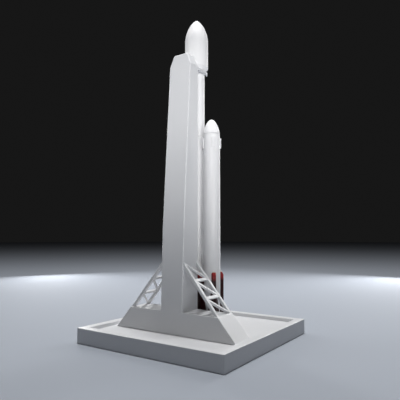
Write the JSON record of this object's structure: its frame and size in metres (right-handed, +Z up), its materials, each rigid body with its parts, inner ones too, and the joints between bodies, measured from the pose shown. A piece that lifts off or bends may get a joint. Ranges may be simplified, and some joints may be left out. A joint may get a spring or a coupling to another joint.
{
  "type": "desk display model of a space rocket on its launch stand",
  "caption": "White desk display model of a space rocket with side boosters, a wide fairing and red landing legs, on a square tray with a launch tower and lattice braces.",
  "frame": {"origin": "centre of the tray's underside, under the core stage's axis", "axes": "+X through the three cores towards the right booster, +Y from the tower's front towards the rocket, +Z up along the rocket"},
  "size_m": [0.178, 0.178, 0.3581],
  "materials": {
    "stand_white": "satin off-white moulded plastic",
    "rocket_white": "glossy white",
    "leg_red": "deep red, half gloss",
    "engine_grey": "dark grey"
  },
  "bodies": {
    "root": {"base_tray": "stand_white", "pedestal": "stand_white", "launch_tower": "stand_white", "left_claw_arm": "stand_white", "right_claw_arm": "stand_white", "left_brace_front_rail": "stand_white", "left_brace_back_rail": "stand_white", "left_brace_lacing": "stand_white", "right_brace_front_rail": "stand_white", "right_brace_back_rail": "stand_white", "right_brace_lacing": "stand_white", "core_interstage": "rocket_white", "upper_stage": "rocket_white", "fairing_adapter": "rocket_white", "fairing_front_half": "rocket_white", "fairing_back_half": "rocket_white", "core_tank": "rocket_white", "core_engine_section": "rocket_white", "core_grid_fin_1": "rocket_white", "core_grid_fin_2": "rocket_white", "core_grid_fin_3": "rocket_white", "core_grid_fin_4": "rocket_white", "left_booster_tank": "rocket_white", "left_booster_engine_section": "rocket_white", "left_booster_grid_fin_1": "rocket_white", "left_booster_grid_fin_2": "rocket_white", "left_booster_grid_fin_3": "rocket_white", "left_booster_grid_fin_4": "rocket_white", "right_booster_tank": "rocket_white", "right_booster_engine_section": "rocket_white", "right_booster_grid_fin_1": "rocket_white", "right_booster_grid_fin_2": "rocket_white", "right_booster_grid_fin_3": "rocket_white", "right_booster_grid_fin_4": "rocket_white", "left_booster_collar": "rocket_white", "left_booster_nose": "rocket_white", "left_booster_upper_coupling": "rocket_white", "left_booster_lower_coupling": "rocket_white", "right_booster_collar": "rocket_white", "right_booster_nose": "rocket_white", "right_booster_upper_coupling": "rocket_white", "right_booster_lower_coupling": "rocket_white", "core_leg_1": "leg_red", "core_leg_2": "leg_red", "core_leg_3": "leg_red", "core_leg_4": "leg_red", "left_booster_leg_1": "leg_red", "left_booster_leg_2": "leg_red", "left_booster_leg_3": "leg_red", "left_booster_leg_4": "leg_red", "right_booster_leg_1": "leg_red", "right_booster_leg_2": "leg_red", "right_booster_leg_3": "leg_red", "right_booster_leg_4": "leg_red", "core_engines": "engine_grey", "left_booster_engines": "engine_grey", "right_booster_engines": "engine_grey"}
  },
  "joints": []
}
